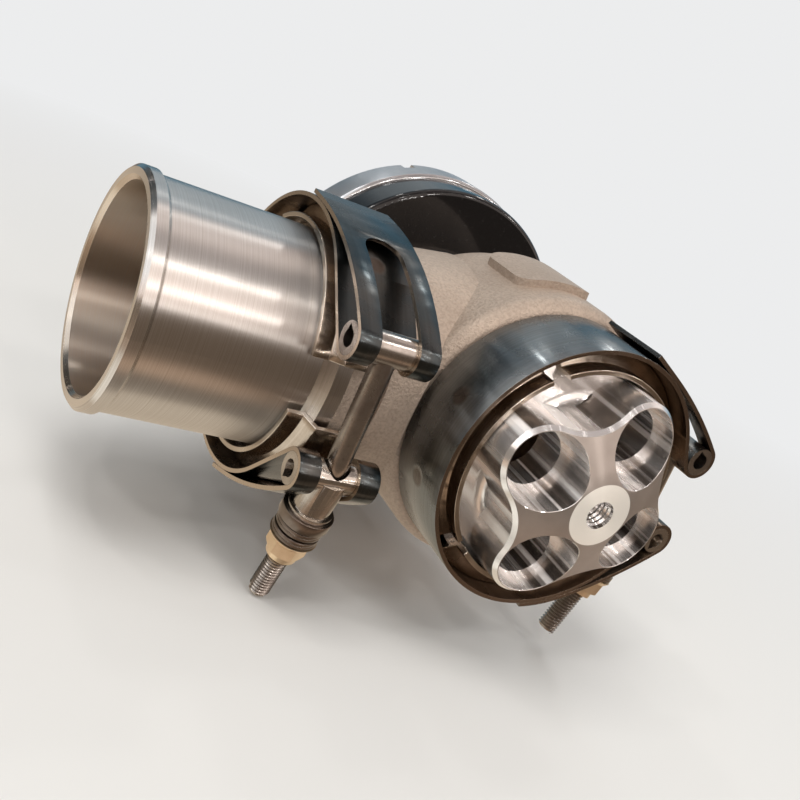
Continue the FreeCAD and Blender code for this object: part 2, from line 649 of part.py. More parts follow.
def runner_block():
    """Four sockets in one lobed block that swells into the V flange."""
    joint = PORT_JOINT_Y
    floor = joint - cone_foot(TUBE_R)
    lobes = Part.Face(lobed_outline()).extrude(Vector(0, HUB_Y - floor - 1, 0))
    lobes.translate(Vector(0, floor + 1, 0))
    outer = RUNNER_PITCH_R + LOBE_R
    turned_top = turned([
        (0, HUB_Y), (HUB_R, HUB_Y), (outer + 1, lobe_top_y(outer + 1)), (outer + 1, floor),
        (0, floor)])
    lobes = lobes.common(turned_top)
    rim = [edge for edge in lobes.Edges if edge.BoundBox.YMax < PORT_JOINT_Y - 12
           and math.hypot(edge.valueAt(edge.FirstParameter).x,
                          edge.valueAt(edge.FirstParameter).z) > VALLEY_R - 1
           and edge.BoundBox.XLength + edge.BoundBox.ZLength > 1]
    lobes = lobes.makeChamfer(EDGE_CHAMFER, rim)
    fillet = BLOCK_FLOOR_FILLET
    flange = turned([
        (0, joint), (RIM_R, joint), (RIM_R, joint - RIM_WIDTH), (TUBE_R, floor),
        (VALLEY_R + fillet, floor), corner_arc((VALLEY_R + fillet, floor - fillet), fillet, 90, 180),
        (0, floor - fillet)])
    block = lobes.fuse(flange)
    hub_level = rod(HUB_R, Vector(0, HUB_Y, 0), Y_AXIS, 4)
    block = block.fuse(hub_level)
    for angle in RUNNER_ANGLES:
        at = polar(RUNNER_PITCH_R, angle)
        top = Vector(at.x, HUB_Y - 1, at.z)
        block = block.cut(rod(RUNNER_R, top, Y_AXIS, RUNNER_FLOOR_Y - top.y))
        block = block.cut(rod(RUNNER_PORT_R, top, Y_AXIS, joint - top.y))
    plenum = turned([(0, joint), (BLOCK_PLENUM_R, joint), (BLOCK_PLENUM_R, joint - 0.8),
                     (BLOCK_PLENUM_R - 2.5, joint - BLOCK_PLENUM_DEPTH), (0, joint - BLOCK_PLENUM_DEPTH)])
    thread = rod(HUB_THREAD_R, Vector(0, HUB_Y, 0), Y_AXIS, HUB_THREAD_DEPTH)
    return block.cut(plenum).cut(thread)


def base_face_y():
    return BODY_TOP_Y + GASKET_THICK


def base_floor_y():
    return base_face_y() + BASE_FLOOR


def screw_spots():
    return [polar(SCREW_PITCH_R, 45 + 360 * k / SCREW_COUNT) for k in range(SCREW_COUNT)]


def heat_gasket():
    ring = turned([(GUIDE_R + 2, BODY_TOP_Y), (BODY_TOP_FLANGE_R, BODY_TOP_Y),
                   (BODY_TOP_FLANGE_R, base_face_y()), (GUIDE_R + 2, base_face_y())])
    for spot in screw_spots():
        ring = ring.cut(rod(SCREW_R + 0.3, Vector(spot.x, BODY_TOP_Y - 1, spot.z), Y_AXIS, 4))
    return ring


def actuator_base():
    """The black housing: floor, wall, boss for the stem seal and the thread rim for the collar."""
    face = base_face_y()
    floor = base_floor_y()
    boss_top = floor + 2.5
    seal_low = boss_top - SEAL_THICK - 0.2
    edge = BASE_EDGE_R
    base = turned([
        (STEM_R + 0.4, face), (BASE_R - edge, face),
        corner_arc((BASE_R - edge, face + edge), edge, -90, 0),
        (BASE_R, COLLAR_Y[0] - SMALL_GAP), (BASE_RIM_R, COLLAR_Y[0] - SMALL_GAP),
        (BASE_RIM_R, DIAPHRAGM_Y), (BASE_BORE_R, DIAPHRAGM_Y), (BASE_BORE_R, floor + 2),
        corner_arc((BASE_BORE_R - 2, floor + 2), 2, 0, -90), (SEAL_R + 3, floor),
        (SEAL_R + 3, boss_top), (SEAL_R + SEAT_GAP, boss_top), (SEAL_R + SEAT_GAP, seal_low),
        (STEM_R + 0.4, seal_low)])
    for spot in screw_spots():
        base = base.cut(rod(SCREW_R + 0.3, Vector(spot.x, face - 1, spot.z), Y_AXIS, 10))
    out = polar(1, AIR_PORT_ANGLE)
    start = out * (BASE_BORE_R - 4) + Y_AXIS * base_port_y()
    return base.cut(rod(AIR_PORT_R, start, out, 20))


def base_port_y():
    return base_face_y() + AIR_PORT_R + 1.4


def base_screws():
    """Cap screws from inside the housing into the body."""
    screws = []
    for spot in screw_spots():
        seat = Vector(spot.x, base_floor_y() + SEAT_GAP, spot.z)
        head = rod(SCREW_HEAD_R, seat, Y_AXIS, SCREW_HEAD_HEIGHT)
        socket = hex_bar(4.0, 0, 1.8, base=1.0)
        socket.rotate(ORIGIN, X_AXIS, -90)
        socket.translate(seat + Y_AXIS * (SCREW_HEAD_HEIGHT - 1.8))
        shank = rod(SCREW_R, Vector(spot.x, BODY_TOP_Y - SCREW_REACH, spot.z), Y_AXIS,
                    base_floor_y() - BODY_TOP_Y + SCREW_REACH + 1)
        screws.append(head.cut(socket).fuse(shank))
    return Part.makeCompound(screws)


def stem_seal():
    top = base_floor_y() + 2.5
    lip = STEM_R + STEM_RUN
    return turned([(lip, top - 1.0), (SEAL_R, top - 1.0), (SEAL_R, top - SEAL_THICK),
                   (lip + 1.0, top - SEAL_THICK), (lip + 0.8, top - 1.8), (lip, top - 1.8)])


def lower_plate_y():
    return DIAPHRAGM_Y - PLATE_THICK - SMALL_GAP


def piston_y():
    return DIAPHRAGM_Y + DIAPHRAGM_THICK + SMALL_GAP


def piston_nut_y():
    return piston_y() + PLATE_THICK + SMALL_GAP / 2


def stem_end_y():
    return piston_nut_y() + PISTON_NUT_HEIGHT + 1.5


def lower_plate():
    low = lower_plate_y()
    return turned([(STEM_TOP_R + STEM_RUN, low), (PLATE_R - 1.5, low), (PLATE_R, low + 0.8),
                   (PLATE_R, low + PLATE_THICK), (STEM_TOP_R + STEM_RUN, low + PLATE_THICK)])


def diaphragm():
    """Fabric-backed rubber: clamped rim, one raised roll, flat middle."""
    low = DIAPHRAGM_Y
    high = low + DIAPHRAGM_THICK
    inner = PLATE_R + 1
    outer = CAP_R - CAP_WALL - 0.4
    middle = (inner + outer) / 2
    roll = (outer - inner) / 2
    rim = BASE_RIM_R - 0.4
    bore = STEM_TOP_R + STEM_RUN
    under = roll - DIAPHRAGM_THICK
    return turned([
        (bore, low), (middle - under, low), (middle, low + under, middle + under, low),
        (rim, low), (rim, high), (middle + roll, high), (middle, high + roll, middle - roll, high),
        (bore, high)])


def piston():
    """The spring cup on top of the diaphragm."""
    low = piston_y()
    high = low + PLATE_THICK
    rim = high + PISTON_RIM_HEIGHT
    return turned([(STEM_TOP_R + STEM_RUN, low), (PLATE_R, low), (PLATE_R, rim),
                   (PLATE_R - 1.6, rim), (PLATE_R - 1.6, high), (STEM_TOP_R + STEM_RUN, high)])


def piston_nut():
    nut = hex_bar(PISTON_NUT_FLATS, 0, PISTON_NUT_HEIGHT)
    nut.rotate(ORIGIN, X_AXIS, 90)
    nut.translate(Y_AXIS * piston_nut_y())
    return nut.cut(rod(STEM_TOP_R + STEM_RUN, Y_AXIS * (piston_nut_y() - 1), Y_AXIS, 10))


def coil_spring(mean_r, wire_r, turns):
    """A compression spring between the piston and the cap, its end coils closed on themselves."""
    low = piston_y() + PLATE_THICK + SMALL_GAP + wire_r
    high = CAP_TOP_Y - CAP_WALL - SMALL_GAP - wire_r
    steps = int(SPRING_STEPS * turns)
    rings = []
    for step in range(steps + 1):
        share = min(max((step / SPRING_STEPS - 0.6) / (turns - 1.2), 0), 1)
        angle = 360 * step / SPRING_STEPS
        centre = polar(mean_r, angle) + Y_AXIS * (low + share * (high - low))
        out = polar(wire_r, angle)
        rings.append(Part.makePolygon([
            centre + out * math.cos(rad(45 * k)) + Y_AXIS * (wire_r * math.sin(rad(45 * k)))
            for k in range(9)]))
    return Part.makeLoft(rings, True, True)


def actuator_cap():
    """The top cover: rim held by the collar, domed crown with the air port in its middle."""
    low = DIAPHRAGM_Y + DIAPHRAGM_THICK
    rim = low + CAP_FLANGE_THICK
    inner = CAP_R - CAP_WALL
    roof = CAP_TOP_Y - CAP_WALL
    boss = CAP_TOP_Y + AIR_BOSS_HEIGHT
    corner = CAP_CORNER_R
    cap = turned([
        (inner + 1, low), (BASE_RIM_R - 0.4, low), (BASE_RIM_R - 0.4, rim), (CAP_R + 1.5, rim),
        (CAP_R, rim + 1.5), (CAP_R, CAP_TOP_Y - corner),
        corner_arc((CAP_R - corner, CAP_TOP_Y - corner), corner, 0, 90), (AIR_BOSS_R, CAP_TOP_Y),
        (AIR_BOSS_R, boss), (AIR_PORT_R, boss), (AIR_PORT_R, roof),
        (inner - corner + 3, roof), corner_arc((inner - corner + 3, roof - corner + 3), corner - 3, 90, 0),
        (inner, low + 1)])
    return cap


def lock_collar():
    """The slotted ring that screws over the housing and holds the cap down."""
    low, high = COLLAR_Y
    cap_rim = DIAPHRAGM_Y + DIAPHRAGM_THICK + CAP_FLANGE_THICK + SMALL_GAP
    inner = BASE_RIM_R + SMALL_GAP
    edge = 0.8
    ring = turned([
        (inner, low), (COLLAR_R - edge, low), (COLLAR_R, low + edge), (COLLAR_R, high - edge),
        (COLLAR_R - edge, high), (CAP_R + COLLAR_LIP, high), (CAP_R + COLLAR_LIP, cap_rim),
        (inner, cap_rim)])
    for number in range(COLLAR_NOTCHES):
        angle = COLLAR_NOTCH_ANGLE + 360 * number / COLLAR_NOTCHES
        notch = Part.makeBox(10, 20, COLLAR_NOTCH_WIDTH,
                             Vector(COLLAR_R - COLLAR_NOTCH_DEPTH, high - 3.5, -COLLAR_NOTCH_WIDTH / 2))
        notch.rotate(ORIGIN, Y_AXIS, -angle)
        ring = ring.cut(notch)
    return ring


def build():
    parts = {
        "valve_body": valve_body(), "charge_spigot": charge_spigot(), "runner_block": runner_block(),
        "seat_ring": seat_ring(), "stem_guide": stem_guide(), "poppet_valve": poppet_valve(),
        "heat_gasket": heat_gasket(), "actuator_base": actuator_base(), "base_screws": base_screws(),
        "stem_seal": stem_seal(), "lower_plate": lower_plate(), "diaphragm": diaphragm(),
        "piston": piston(), "piston_nut": piston_nut(), "actuator_cap": actuator_cap(),
        "lock_collar": lock_collar()}
    for node, (mean_r, wire_r, turns) in SPRING_SIZES.items():
        parts[node] = coil_spring(mean_r, wire_r, turns)
    for name in CLAMPS:
        parts.update(clamp_parts(name))
    return parts


os.makedirs("parts", exist_ok=True)
for node, shape in build().items():
    shape.translate(Vector(0, -HUB_Y, 0))
    shape.exportStep("parts/" + node + ".step")
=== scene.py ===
import math

import bmesh
import bpy
from mathutils import Matrix, Vector


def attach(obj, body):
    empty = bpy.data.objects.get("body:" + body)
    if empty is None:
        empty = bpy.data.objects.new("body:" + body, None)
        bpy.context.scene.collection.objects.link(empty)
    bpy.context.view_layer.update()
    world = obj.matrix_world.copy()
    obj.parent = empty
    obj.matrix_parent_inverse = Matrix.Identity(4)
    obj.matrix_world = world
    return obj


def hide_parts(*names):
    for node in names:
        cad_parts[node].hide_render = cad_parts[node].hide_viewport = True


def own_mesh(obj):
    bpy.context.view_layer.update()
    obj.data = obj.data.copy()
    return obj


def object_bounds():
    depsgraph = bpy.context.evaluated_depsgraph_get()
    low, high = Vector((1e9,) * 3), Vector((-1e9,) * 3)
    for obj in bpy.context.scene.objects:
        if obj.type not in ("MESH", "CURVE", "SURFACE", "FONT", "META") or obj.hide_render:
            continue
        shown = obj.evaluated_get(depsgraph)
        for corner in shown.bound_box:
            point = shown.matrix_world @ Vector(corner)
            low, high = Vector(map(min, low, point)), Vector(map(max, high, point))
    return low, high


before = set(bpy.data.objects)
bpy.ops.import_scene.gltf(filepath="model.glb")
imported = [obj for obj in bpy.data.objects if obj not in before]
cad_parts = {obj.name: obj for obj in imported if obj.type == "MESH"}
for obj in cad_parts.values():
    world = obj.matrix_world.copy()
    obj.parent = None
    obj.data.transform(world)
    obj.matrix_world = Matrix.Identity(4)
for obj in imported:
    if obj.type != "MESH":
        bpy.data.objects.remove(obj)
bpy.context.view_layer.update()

# Millimetres of the row frame: the origin is the middle of the runner block's hub face, and +Y runs
# along the valve's axis to the actuator. The charge spigot leaves along -X. Below are the side port's
# axis and the two clamped joints.
MM = 0.001
SIDE_AXIS_Y = 58.96
SIDE_JOINT_X = -51.4
PORT_JOINT_Y = 22.06

# Each clamp's bolt, as in the part's source: its trunnion (out from the clamp's axis, up), its lean in
# degrees, and its length below the trunnion
CLAMPS = {
    "side": {"trunnion": (37.5, -13.8), "lean": 12.0, "below": 35.0},
    "port": {"trunnion": (35.55, -9.3), "lean": 13.3, "below": 36.0},
}
THREAD_START = 15.5
THREAD_PITCH = 0.8
THREAD_CREST_R = 2.5
THREAD_ROOT_R = 2.08
# Segments in one turn of a thread, and its outline: height in pitches, share of the way to the crest
THREAD_STEPS = 28
THREAD_OUTLINE = [(0.0, 0.0), (0.38, 1.0), (0.5, 1.0), (0.88, 0.0), (1.0, 0.0)]
BOLT_END_ROOM = 0.4
BOLT_END_CHAMFER = 0.35
CORE_OVERLAP = 0.04

# The block's sockets
SOCKET_ANGLES = (70.5, 160.5, 250.5, 340.5)
SOCKET_PITCH_R = 16.6
SOCKET_R = 8.65
SOCKET_FLOOR_Y = 9.96
MOUTH_CHAMFER = 0.75
HUB_HOLE_R = 3.35
HUB_THREAD_PITCH = 1.25
HUB_THREAD_RISE = 0.34
HUB_THREAD_START = 0.35
HUB_THREAD_LENGTH = 11.5

# Points of a mesh that are nearer than this are one
JOIN_REACH = 0.004

# The camera, from the photograph
EYE = Vector((-0.15025, -0.13583, 0.06387))
RIGHT = Vector((0.8176, -0.3995, 0.4147))
UP = Vector((-0.2121, 0.4605, 0.8619))
AHEAD = Vector((0.5353, 0.7926, -0.2918))
LENS = 44.2

PALE = (0.80, 0.80, 0.79, 1.0)
BACKDROP = (0.84, 0.845, 0.85, 1.0)


# Shader building

def wire(tree, value, socket):
    """Link an output to a socket, or set the socket's plain value."""
    if isinstance(value, bpy.types.NodeSocket):
        tree.links.new(value, socket)
    else:
        socket.default_value = value


def math_node(tree, operation, first, second=0.0):
    node = tree.nodes.new("ShaderNodeMath")
    node.operation = operation
    wire(tree, first, node.inputs[0])
    wire(tree, second, node.inputs[1])
    return node.outputs[0]


def span(tree, value, low, high, to_low=0.0, to_high=1.0):
    """Map a value from one range to another, held at the ends."""
    node = tree.nodes.new("ShaderNodeMapRange")
    for socket, number in zip(node.inputs, (value, low, high, to_low, to_high)):
        wire(tree, number, socket)
    return node.outputs[0]


def blend_colour(tree, share, first, second):
    node = tree.nodes.new("ShaderNodeMix")
    node.data_type = "RGBA"
    wire(tree, share, node.inputs["Factor"])
    wire(tree, first, node.inputs[6])
    wire(tree, second, node.inputs[7])
    return node.outputs[2]


def noise(tree, vector, scale, detail=3.0, roughness=0.55):
    node = tree.nodes.new("ShaderNodeTexNoise")
    wire(tree, vector, node.inputs["Vector"])
    wire(tree, scale, node.inputs["Scale"])
    node.inputs["Detail"].default_value = detail
    node.inputs["Roughness"].default_value = roughness
    return node.outputs["Fac"]


def new_group(name, inputs, outputs):
    """An empty node group with float or vector inputs, and its input and output nodes."""
    group = bpy.data.node_groups.new(name, "ShaderNodeTree")
    for label, kind, default in inputs:
        socket = group.interface.new_socket(label, in_out="INPUT", socket_type=kind)
        if default is not None:
            socket.default_value = default
    for label, kind in outputs:
        group.interface.new_socket(label, in_out="OUTPUT", socket_type=kind)
    return group, group.nodes.new("NodeGroupInput"), group.nodes.new("NodeGroupOutput")


FLOAT = "NodeSocketFloat"
VECTOR = "NodeSocketVector"


def machine_lines_group():
    """Tool marks: fine and coarse lines that change only along the cut's own direction."""
    group, given, out = new_group(
        "machine_lines", [("Place", VECTOR, None), ("Along", VECTOR, (1.0, 0.0, 0.0)),
                          ("Fine", FLOAT, 6000.0), ("Coarse", FLOAT, 900.0)],
        [("Lines", FLOAT), ("Bands", FLOAT)])
    dot = group.nodes.new("ShaderNodeVectorMath")
    dot.operation = "DOT_PRODUCT"
    group.links.new(given.outputs["Place"], dot.inputs[0])
    group.links.new(given.outputs["Along"], dot.inputs[1])
    for label, pitch, detail in (("Lines", "Fine", 2.0), ("Bands", "Coarse", 3.0)):
        lines = group.nodes.new("ShaderNodeTexNoise")
        lines.noise_dimensions = "1D"
        group.links.new(math_node(group, "MULTIPLY", dot.outputs["Value"], given.outputs[pitch]),
                        lines.inputs["W"])
        lines.inputs["Scale"].default_value = 1.0
        lines.inputs["Detail"].default_value = detail
        group.links.new(lines.outputs["Fac"], out.inputs[label])
    return group


def handling_group():
    """Cloudy smudges and small specks on bare metal."""
    group, given, out = new_group(
        "handling_marks", [("Place", VECTOR, None), ("Cloud", FLOAT, 60.0), ("Speck", FLOAT, 900.0)],
        [("Clouds", FLOAT), ("Specks", FLOAT)])
    clouds = noise(group, given.outputs["Place"], given.outputs["Cloud"], 4.0)
    specks = noise(group, given.outputs["Place"], given.outputs["Speck"], 2.0)
    group.links.new(span(group, clouds, 0.32, 0.68), out.inputs["Clouds"])
    group.links.new(span(group, specks, 0.6, 0.75), out.inputs["Specks"])
    return group


def cast_skin_group():
    """The sand-cast skin: packed grains, and slow waves under them."""
    group, given, out = new_group("cast_skin", [("Place", VECTOR, None), ("Grain", FLOAT, 1500.0)],
                                  [("Height", FLOAT), ("Grains", FLOAT)])
    place = given.outputs["Place"]
    grains = span(group, noise(group, place, given.outputs["Grain"], 2.0, 0.6), 0.36, 0.64)
    waves = noise(group, place, 140.0, 3.0)
    group.links.new(math_node(group, "ADD", math_node(group, "MULTIPLY", grains, 0.35),
                              math_node(group, "MULTIPLY", waves, 1.2)), out.inputs["Height"])
    group.links.new(grains, out.inputs["Grains"])
    return group


def weld_spot_group():
    """One where the surface is within a spot weld's mark, 0 outside."""
    group, given, out = new_group("weld_spot", [("Place", VECTOR, None), ("Centre", VECTOR, None),
                                                ("Radius", FLOAT, 0.0018)], [("Mark", FLOAT)])
    gap = group.nodes.new("ShaderNodeVectorMath")
    gap.operation = "DISTANCE"
    group.links.new(given.outputs["Place"], gap.inputs[0])
    group.links.new(given.outputs["Centre"], gap.inputs[1])
    share = math_node(group, "DIVIDE", gap.outputs["Value"], given.outputs["Radius"])
    group.links.new(span(group, share, 1.15, 0.75), out.inputs["Mark"])
    return group


def socket_axis(degrees):
    """A socket's middle, in the plane across the valve's axis."""
    turn = math.radians(degrees)
    return Vector((SOCKET_PITCH_R * math.cos(turn), 0, SOCKET_PITCH_R * math.sin(turn))) * MM


# The noise at which a painted highlight streak or a painted dark reflection band begins, and at which it
# is whole
PAINTED_STREAK_EDGE = (0.52, 0.66)
PAINTED_BAND_EDGE = (0.42, 0.60)


def ring_noise(group, angle, rate, start, detail):
    """Noise that changes only with the angle about an axis."""
    made = group.nodes.new("ShaderNodeTexNoise")
    made.noise_dimensions = "1D"
    place = math_node(group, "ADD", math_node(group, "MULTIPLY", angle, rate), start)
    group.links.new(place, made.inputs["W"])
    made.inputs["Scale"].default_value = 1.0
    made.inputs["Detail"].default_value = detail
    made.inputs["Roughness"].default_value = 0.65
    return made.outputs["Fac"]


def replaced_inside(group, inside, outer, own):
    """A value that gives way to another one where inside is 1."""
    change = math_node(group, "SUBTRACT", own, outer)
    return math_node(group, "ADD", outer, math_node(group, "MULTIPLY", inside, change))


def painted_bore_reflections_group():
    """Painted highlight streaks and painted dark reflection bands along the sockets and lobes, by the
    angle about each one's axis.
    """
    group, given, out = new_group("painted_bore_reflections", [("Place", VECTOR, None)],
                                  [("Streaks", FLOAT), ("Bands", FLOAT)])
    parts = group.nodes.new("ShaderNodeSeparateXYZ")
    group.links.new(given.outputs["Place"], parts.inputs[0])
    angle = math_node(group, "ARCTAN2", parts.outputs["Z"], parts.outputs["X"])
    # Painted reflections: white highlight streaks and dark bands, set by the angle about the block's axis
    painted_streaks = span(group, ring_noise(group, angle, 4.2, 80.0, 2.0), *PAINTED_STREAK_EDGE)
    painted_bands = span(group, ring_noise(group, angle, 2.0, 140.0, 1.0), *PAINTED_BAND_EDGE)
    for number, degrees in enumerate(SOCKET_ANGLES):
        axis = socket_axis(degrees)
        across = math_node(group, "SUBTRACT", parts.outputs["X"], axis.x)
        up = math_node(group, "SUBTRACT", parts.outputs["Z"], axis.z)
        angle = math_node(group, "ARCTAN2", up, across)
        squares = [math_node(group, "MULTIPLY", side, side) for side in (across, up)]
        away = math_node(group, "SQRT", math_node(group, "ADD", *squares))
        inside = span(group, away, (SOCKET_R + 0.2) * MM, (SOCKET_R + 0.1) * MM)
        start = 20.0 * number
        own = span(group, ring_noise(group, angle, 2.2, start, 2.0), *PAINTED_STREAK_EDGE)
        painted_streaks = replaced_inside(group, inside, painted_streaks, own)
        own = span(group, ring_noise(group, angle, 0.9, start + 9.0, 1.0), *PAINTED_BAND_EDGE)
        painted_bands = replaced_inside(group, inside, painted_bands, own)
    group.links.new(painted_streaks, out.inputs["Streaks"])
    group.links.new(painted_bands, out.inputs["Bands"])
    return group


GROUPS = {"lines": machine_lines_group(), "handling": handling_group(), "cast": cast_skin_group(),
          "weld": weld_spot_group(), "painted_streaks": painted_bore_reflections_group()}


X_WAY = (1.0, 0.0, 0.0)
Y_WAY = (0.0, 1.0, 0.0)
AXIS_POINTS = {X_WAY: (0.0, SIDE_AXIS_Y * MM, 0.0), Y_WAY: (0.0, 0.0, 0.0)}


class Finish:
    """One material: a Principled shader, the object's coordinates and a bump at the end."""

    def __init__(self, name, colour, metallic=1.0, roughness=0.3, anisotropic=0.0, axis=None):
        self.material = bpy.data.materials.new(name)
        self.material.use_nodes = True
        self.tree = self.material.node_tree
        self.shader = self.tree.nodes["Principled BSDF"]
        self.place = self.tree.nodes.new("ShaderNodeTexCoord").outputs["Object"]
        self.shader.inputs["Base Color"].default_value = (*colour, 1.0)
        self.shader.inputs["Metallic"].default_value = metallic
        self.shader.inputs["Roughness"].default_value = roughness
        self.shader.inputs["Anisotropic"].default_value = anisotropic
        if axis is not None:
            self.normal = self.tree.nodes.new("ShaderNodeNewGeometry").outputs["Normal"]
            self.outward = self.away_from(axis)
            self.endwise = self.math("ABSOLUTE", self.vector("DOT_PRODUCT", self.normal, axis))
            along = self.vector("SCALE", axis, self.span(self.endwise, 0.6, 0.9, 1.0, 0.0))
            across = self.vector("SCALE", self.outward, self.span(self.endwise, 0.6, 0.9))
            self.feed("Tangent", self.vector("ADD", along, across))

    def vector(self, operation, first, second):
        node = self.tree.nodes.new("ShaderNodeVectorMath")
        node.operation = operation
        wire(self.tree, first, node.inputs[0])
        wire(self.tree, second, node.inputs["Scale" if operation == "SCALE" else 1])
        return node.outputs["Value" if operation == "DOT_PRODUCT" else "Vector"]

    def along_y(self, vector):
        """A vector's part along the valve's axis."""
        parts = self.tree.nodes.new("ShaderNodeSeparateXYZ")
        wire(self.tree, vector, parts.inputs[0])
        return parts.outputs["Y"]

    def away_from(self, axis):
        """The direction straight out from a turning axis."""
        arm = self.vector("SUBTRACT", self.place, AXIS_POINTS[axis])
        flat = self.vector("MULTIPLY", arm, tuple(1.0 - part for part in axis))
        node = self.tree.nodes.new("ShaderNodeVectorMath")
        node.operation = "NORMALIZE"
        wire(self.tree, flat, node.inputs[0])
        return node.outputs[0]

    def group(self, key, **values):
        """A node group at this surface's place, with its inputs set."""
        node = self.tree.nodes.new("ShaderNodeGroup")
        node.node_tree = GROUPS[key]
        wire(self.tree, self.place, node.inputs["Place"])
        for label, value in values.items():
            wire(self.tree, value, node.inputs[label])
        return node.outputs

    def feed(self, socket, value):
        wire(self.tree, value, self.shader.inputs[socket])

    def mix(self, share, first, second):
        """Mix two plain colours."""
        return blend_colour(self.tree, share, (*first, 1.0), (*second, 1.0))

    def shade(self, share, under, over):
        """Mix an earlier colour output with a plain colour."""
        return blend_colour(self.tree, share, under, (*over, 1.0))

    def span(self, value, low, high, to_low=0.0, to_high=1.0):
        return span(self.tree, value, low, high, to_low, to_high)

    def math(self, operation, first, second=0.0):
        return math_node(self.tree, operation, first, second)

    def moved(self, value, share, target):
        """A value that goes to the target as the share goes from 0 to 1."""
        return self.math("ADD", value, self.math("MULTIPLY", share, self.math("SUBTRACT", target, value)))

    def bump(self, height, distance, strength=1.0):
        node = self.tree.nodes.new("ShaderNodeBump")
        node.inputs["Strength"].default_value = strength
        node.inputs["Distance"].default_value = distance
        self.tree.links.new(height, node.inputs["Height"])
        self.tree.links.new(node.outputs["Normal"], self.shader.inputs["Normal"])


def turned_steel(name, axis, bright, dark, roughness, anisotropic=0.95, bore_reflection_tint=None):
    """Metal turned on a lathe: rings of tool marks about one axis, and a painted warm reflection in the
    bore.
    """
    finish = Finish(name, bright, 1.0, roughness, anisotropic, axis)
    lines = finish.group("lines", Along=axis, Fine=7000.0, Coarse=2400.0)
    marks = finish.group("handling", Cloud=45.0, Speck=1300.0)
    rings = finish.math("ADD", finish.math("MULTIPLY", lines["Lines"], 0.6),
                        finish.math("MULTIPLY", lines["Bands"], 0.4))
    colour = finish.mix(finish.span(rings, 0.36, 0.62), dark, bright)
    colour = finish.shade(finish.math("MULTIPLY", marks["Clouds"], 0.25), colour, dark)
    # Painted warm reflection: the surface facing the axis, inside the bore, turns to a warmer tone, more
    # on the darker rings
    if bore_reflection_tint is not None:
        facing = finish.vector("DOT_PRODUCT", finish.normal, finish.outward)
        share = finish.math("MULTIPLY", finish.span(facing, 0.1, -0.1),
                            finish.span(rings, 0.36, 0.62, 0.95, 0.55))
        colour = finish.shade(share, colour, bore_reflection_tint)
    finish.feed("Base Color", colour)
    rough = finish.math("ADD", finish.span(rings, 0.35, 0.65, roughness * 0.9, roughness * 1.12),
                        finish.math("MULTIPLY", marks["Clouds"], 0.04))
    rough = finish.math("MULTIPLY", rough, finish.span(finish.endwise, 0.4, 0.8, 1.0, 0.6))
    finish.feed("Roughness", rough)
    finish.bump(rings, 0.000006, 0.5)
    return finish.material


def strap_steel(name, across, tone, edge, welds):
    """Cold-rolled band: fine lines along it, painted brown shade on its inner face, pale on the cut
    edges, weld marks.
    """
    finish = Finish(name, tone, 1.0, 0.26, 0.6, across)
    lines = finish.group("lines", Along=across, Fine=7000.0, Coarse=1500.0)
    marks = finish.group("handling", Cloud=90.0, Speck=1500.0)
    rolled = finish.math("ADD", finish.math("MULTIPLY", lines["Lines"], 0.5),
                         finish.math("MULTIPLY", lines["Bands"], 0.5))
    outside = finish.mix(finish.span(rolled, 0.35, 0.65), tone, [part * 0.7 for part in tone])
    facing = finish.vector("DOT_PRODUCT", finish.normal, finish.outward)
    # Painted shade: the inner face, towards the clamped parts, turns dark brown; the smudges below take
    # the same tone
    colour = finish.shade(finish.span(facing, 0.1, -0.1), outside, STRAP_INNER_SHADE_AND_SMUDGE)
    colour = finish.shade(finish.math("MULTIPLY", marks["Clouds"], 0.3), colour, STRAP_INNER_SHADE_AND_SMUDGE)
    colour = finish.shade(finish.span(finish.endwise, 0.8, 0.95), colour, edge)
    height = rolled
    for centre, radius in welds:
        mark = finish.group("weld", Centre=[v * MM for v in centre], Radius=radius * MM)["Mark"]
        colour = finish.shade(finish.math("MULTIPLY", mark, 0.75), colour, WELD_TONE)
        height = finish.math("SUBTRACT", height, finish.math("MULTIPLY", mark, 15.0))
    finish.feed("Base Color", colour)
    finish.feed("Roughness", finish.span(marks["Clouds"], 0.0, 1.0, 0.22, 0.32))
    finish.bump(height, 0.000008, 0.6)
    return finish.material


def pressed_steel(name, across, colour, worn):
    """Sheet pressed to shape, with draw lines across its sweep."""
    finish = Finish(name, colour, 1.0, 0.2, 0.4, across)
    lines = finish.group("lines", Along=across, Fine=6000.0, Coarse=1800.0)
    marks = finish.group("handling", Cloud=110.0, Speck=1200.0)
    share = finish.math("ADD", finish.math("MULTIPLY", lines["Bands"], 0.6),
                        finish.math("MULTIPLY", marks["Clouds"], 0.4))
    finish.feed("Base Color", finish.mix(finish.span(share, 0.25, 0.75), worn, colour))
    finish.feed("Roughness", finish.span(marks["Clouds"], 0.0, 1.0, 0.16, 0.28))
    finish.bump(lines["Lines"], 0.000015, 0.5)
    return finish.material


def cast_steel():
    """The sand-cast body: dark between the grains, cloudy over larger areas."""
    finish = Finish("cast_body_skin", (0.50, 0.42, 0.36), 0.4, 0.5)
    skin = finish.group("cast", Grain=1500.0)
    marks = finish.group("handling", Cloud=35.0, Speck=700.0)
    colour = finish.mix(marks["Clouds"], (0.60, 0.49, 0.40), (0.46, 0.37, 0.30))
    colour = finish.shade(finish.span(skin["Grains"], 1.0, 0.0, 0.0, 0.42), colour, (0.29, 0.225, 0.18))
    finish.feed("Base Color", colour)
    finish.feed("Roughness", finish.span(marks["Clouds"], 0.0, 1.0, 0.42, 0.56))
    finish.bump(skin["Height"], 0.00026, 0.9)
    return finish.material


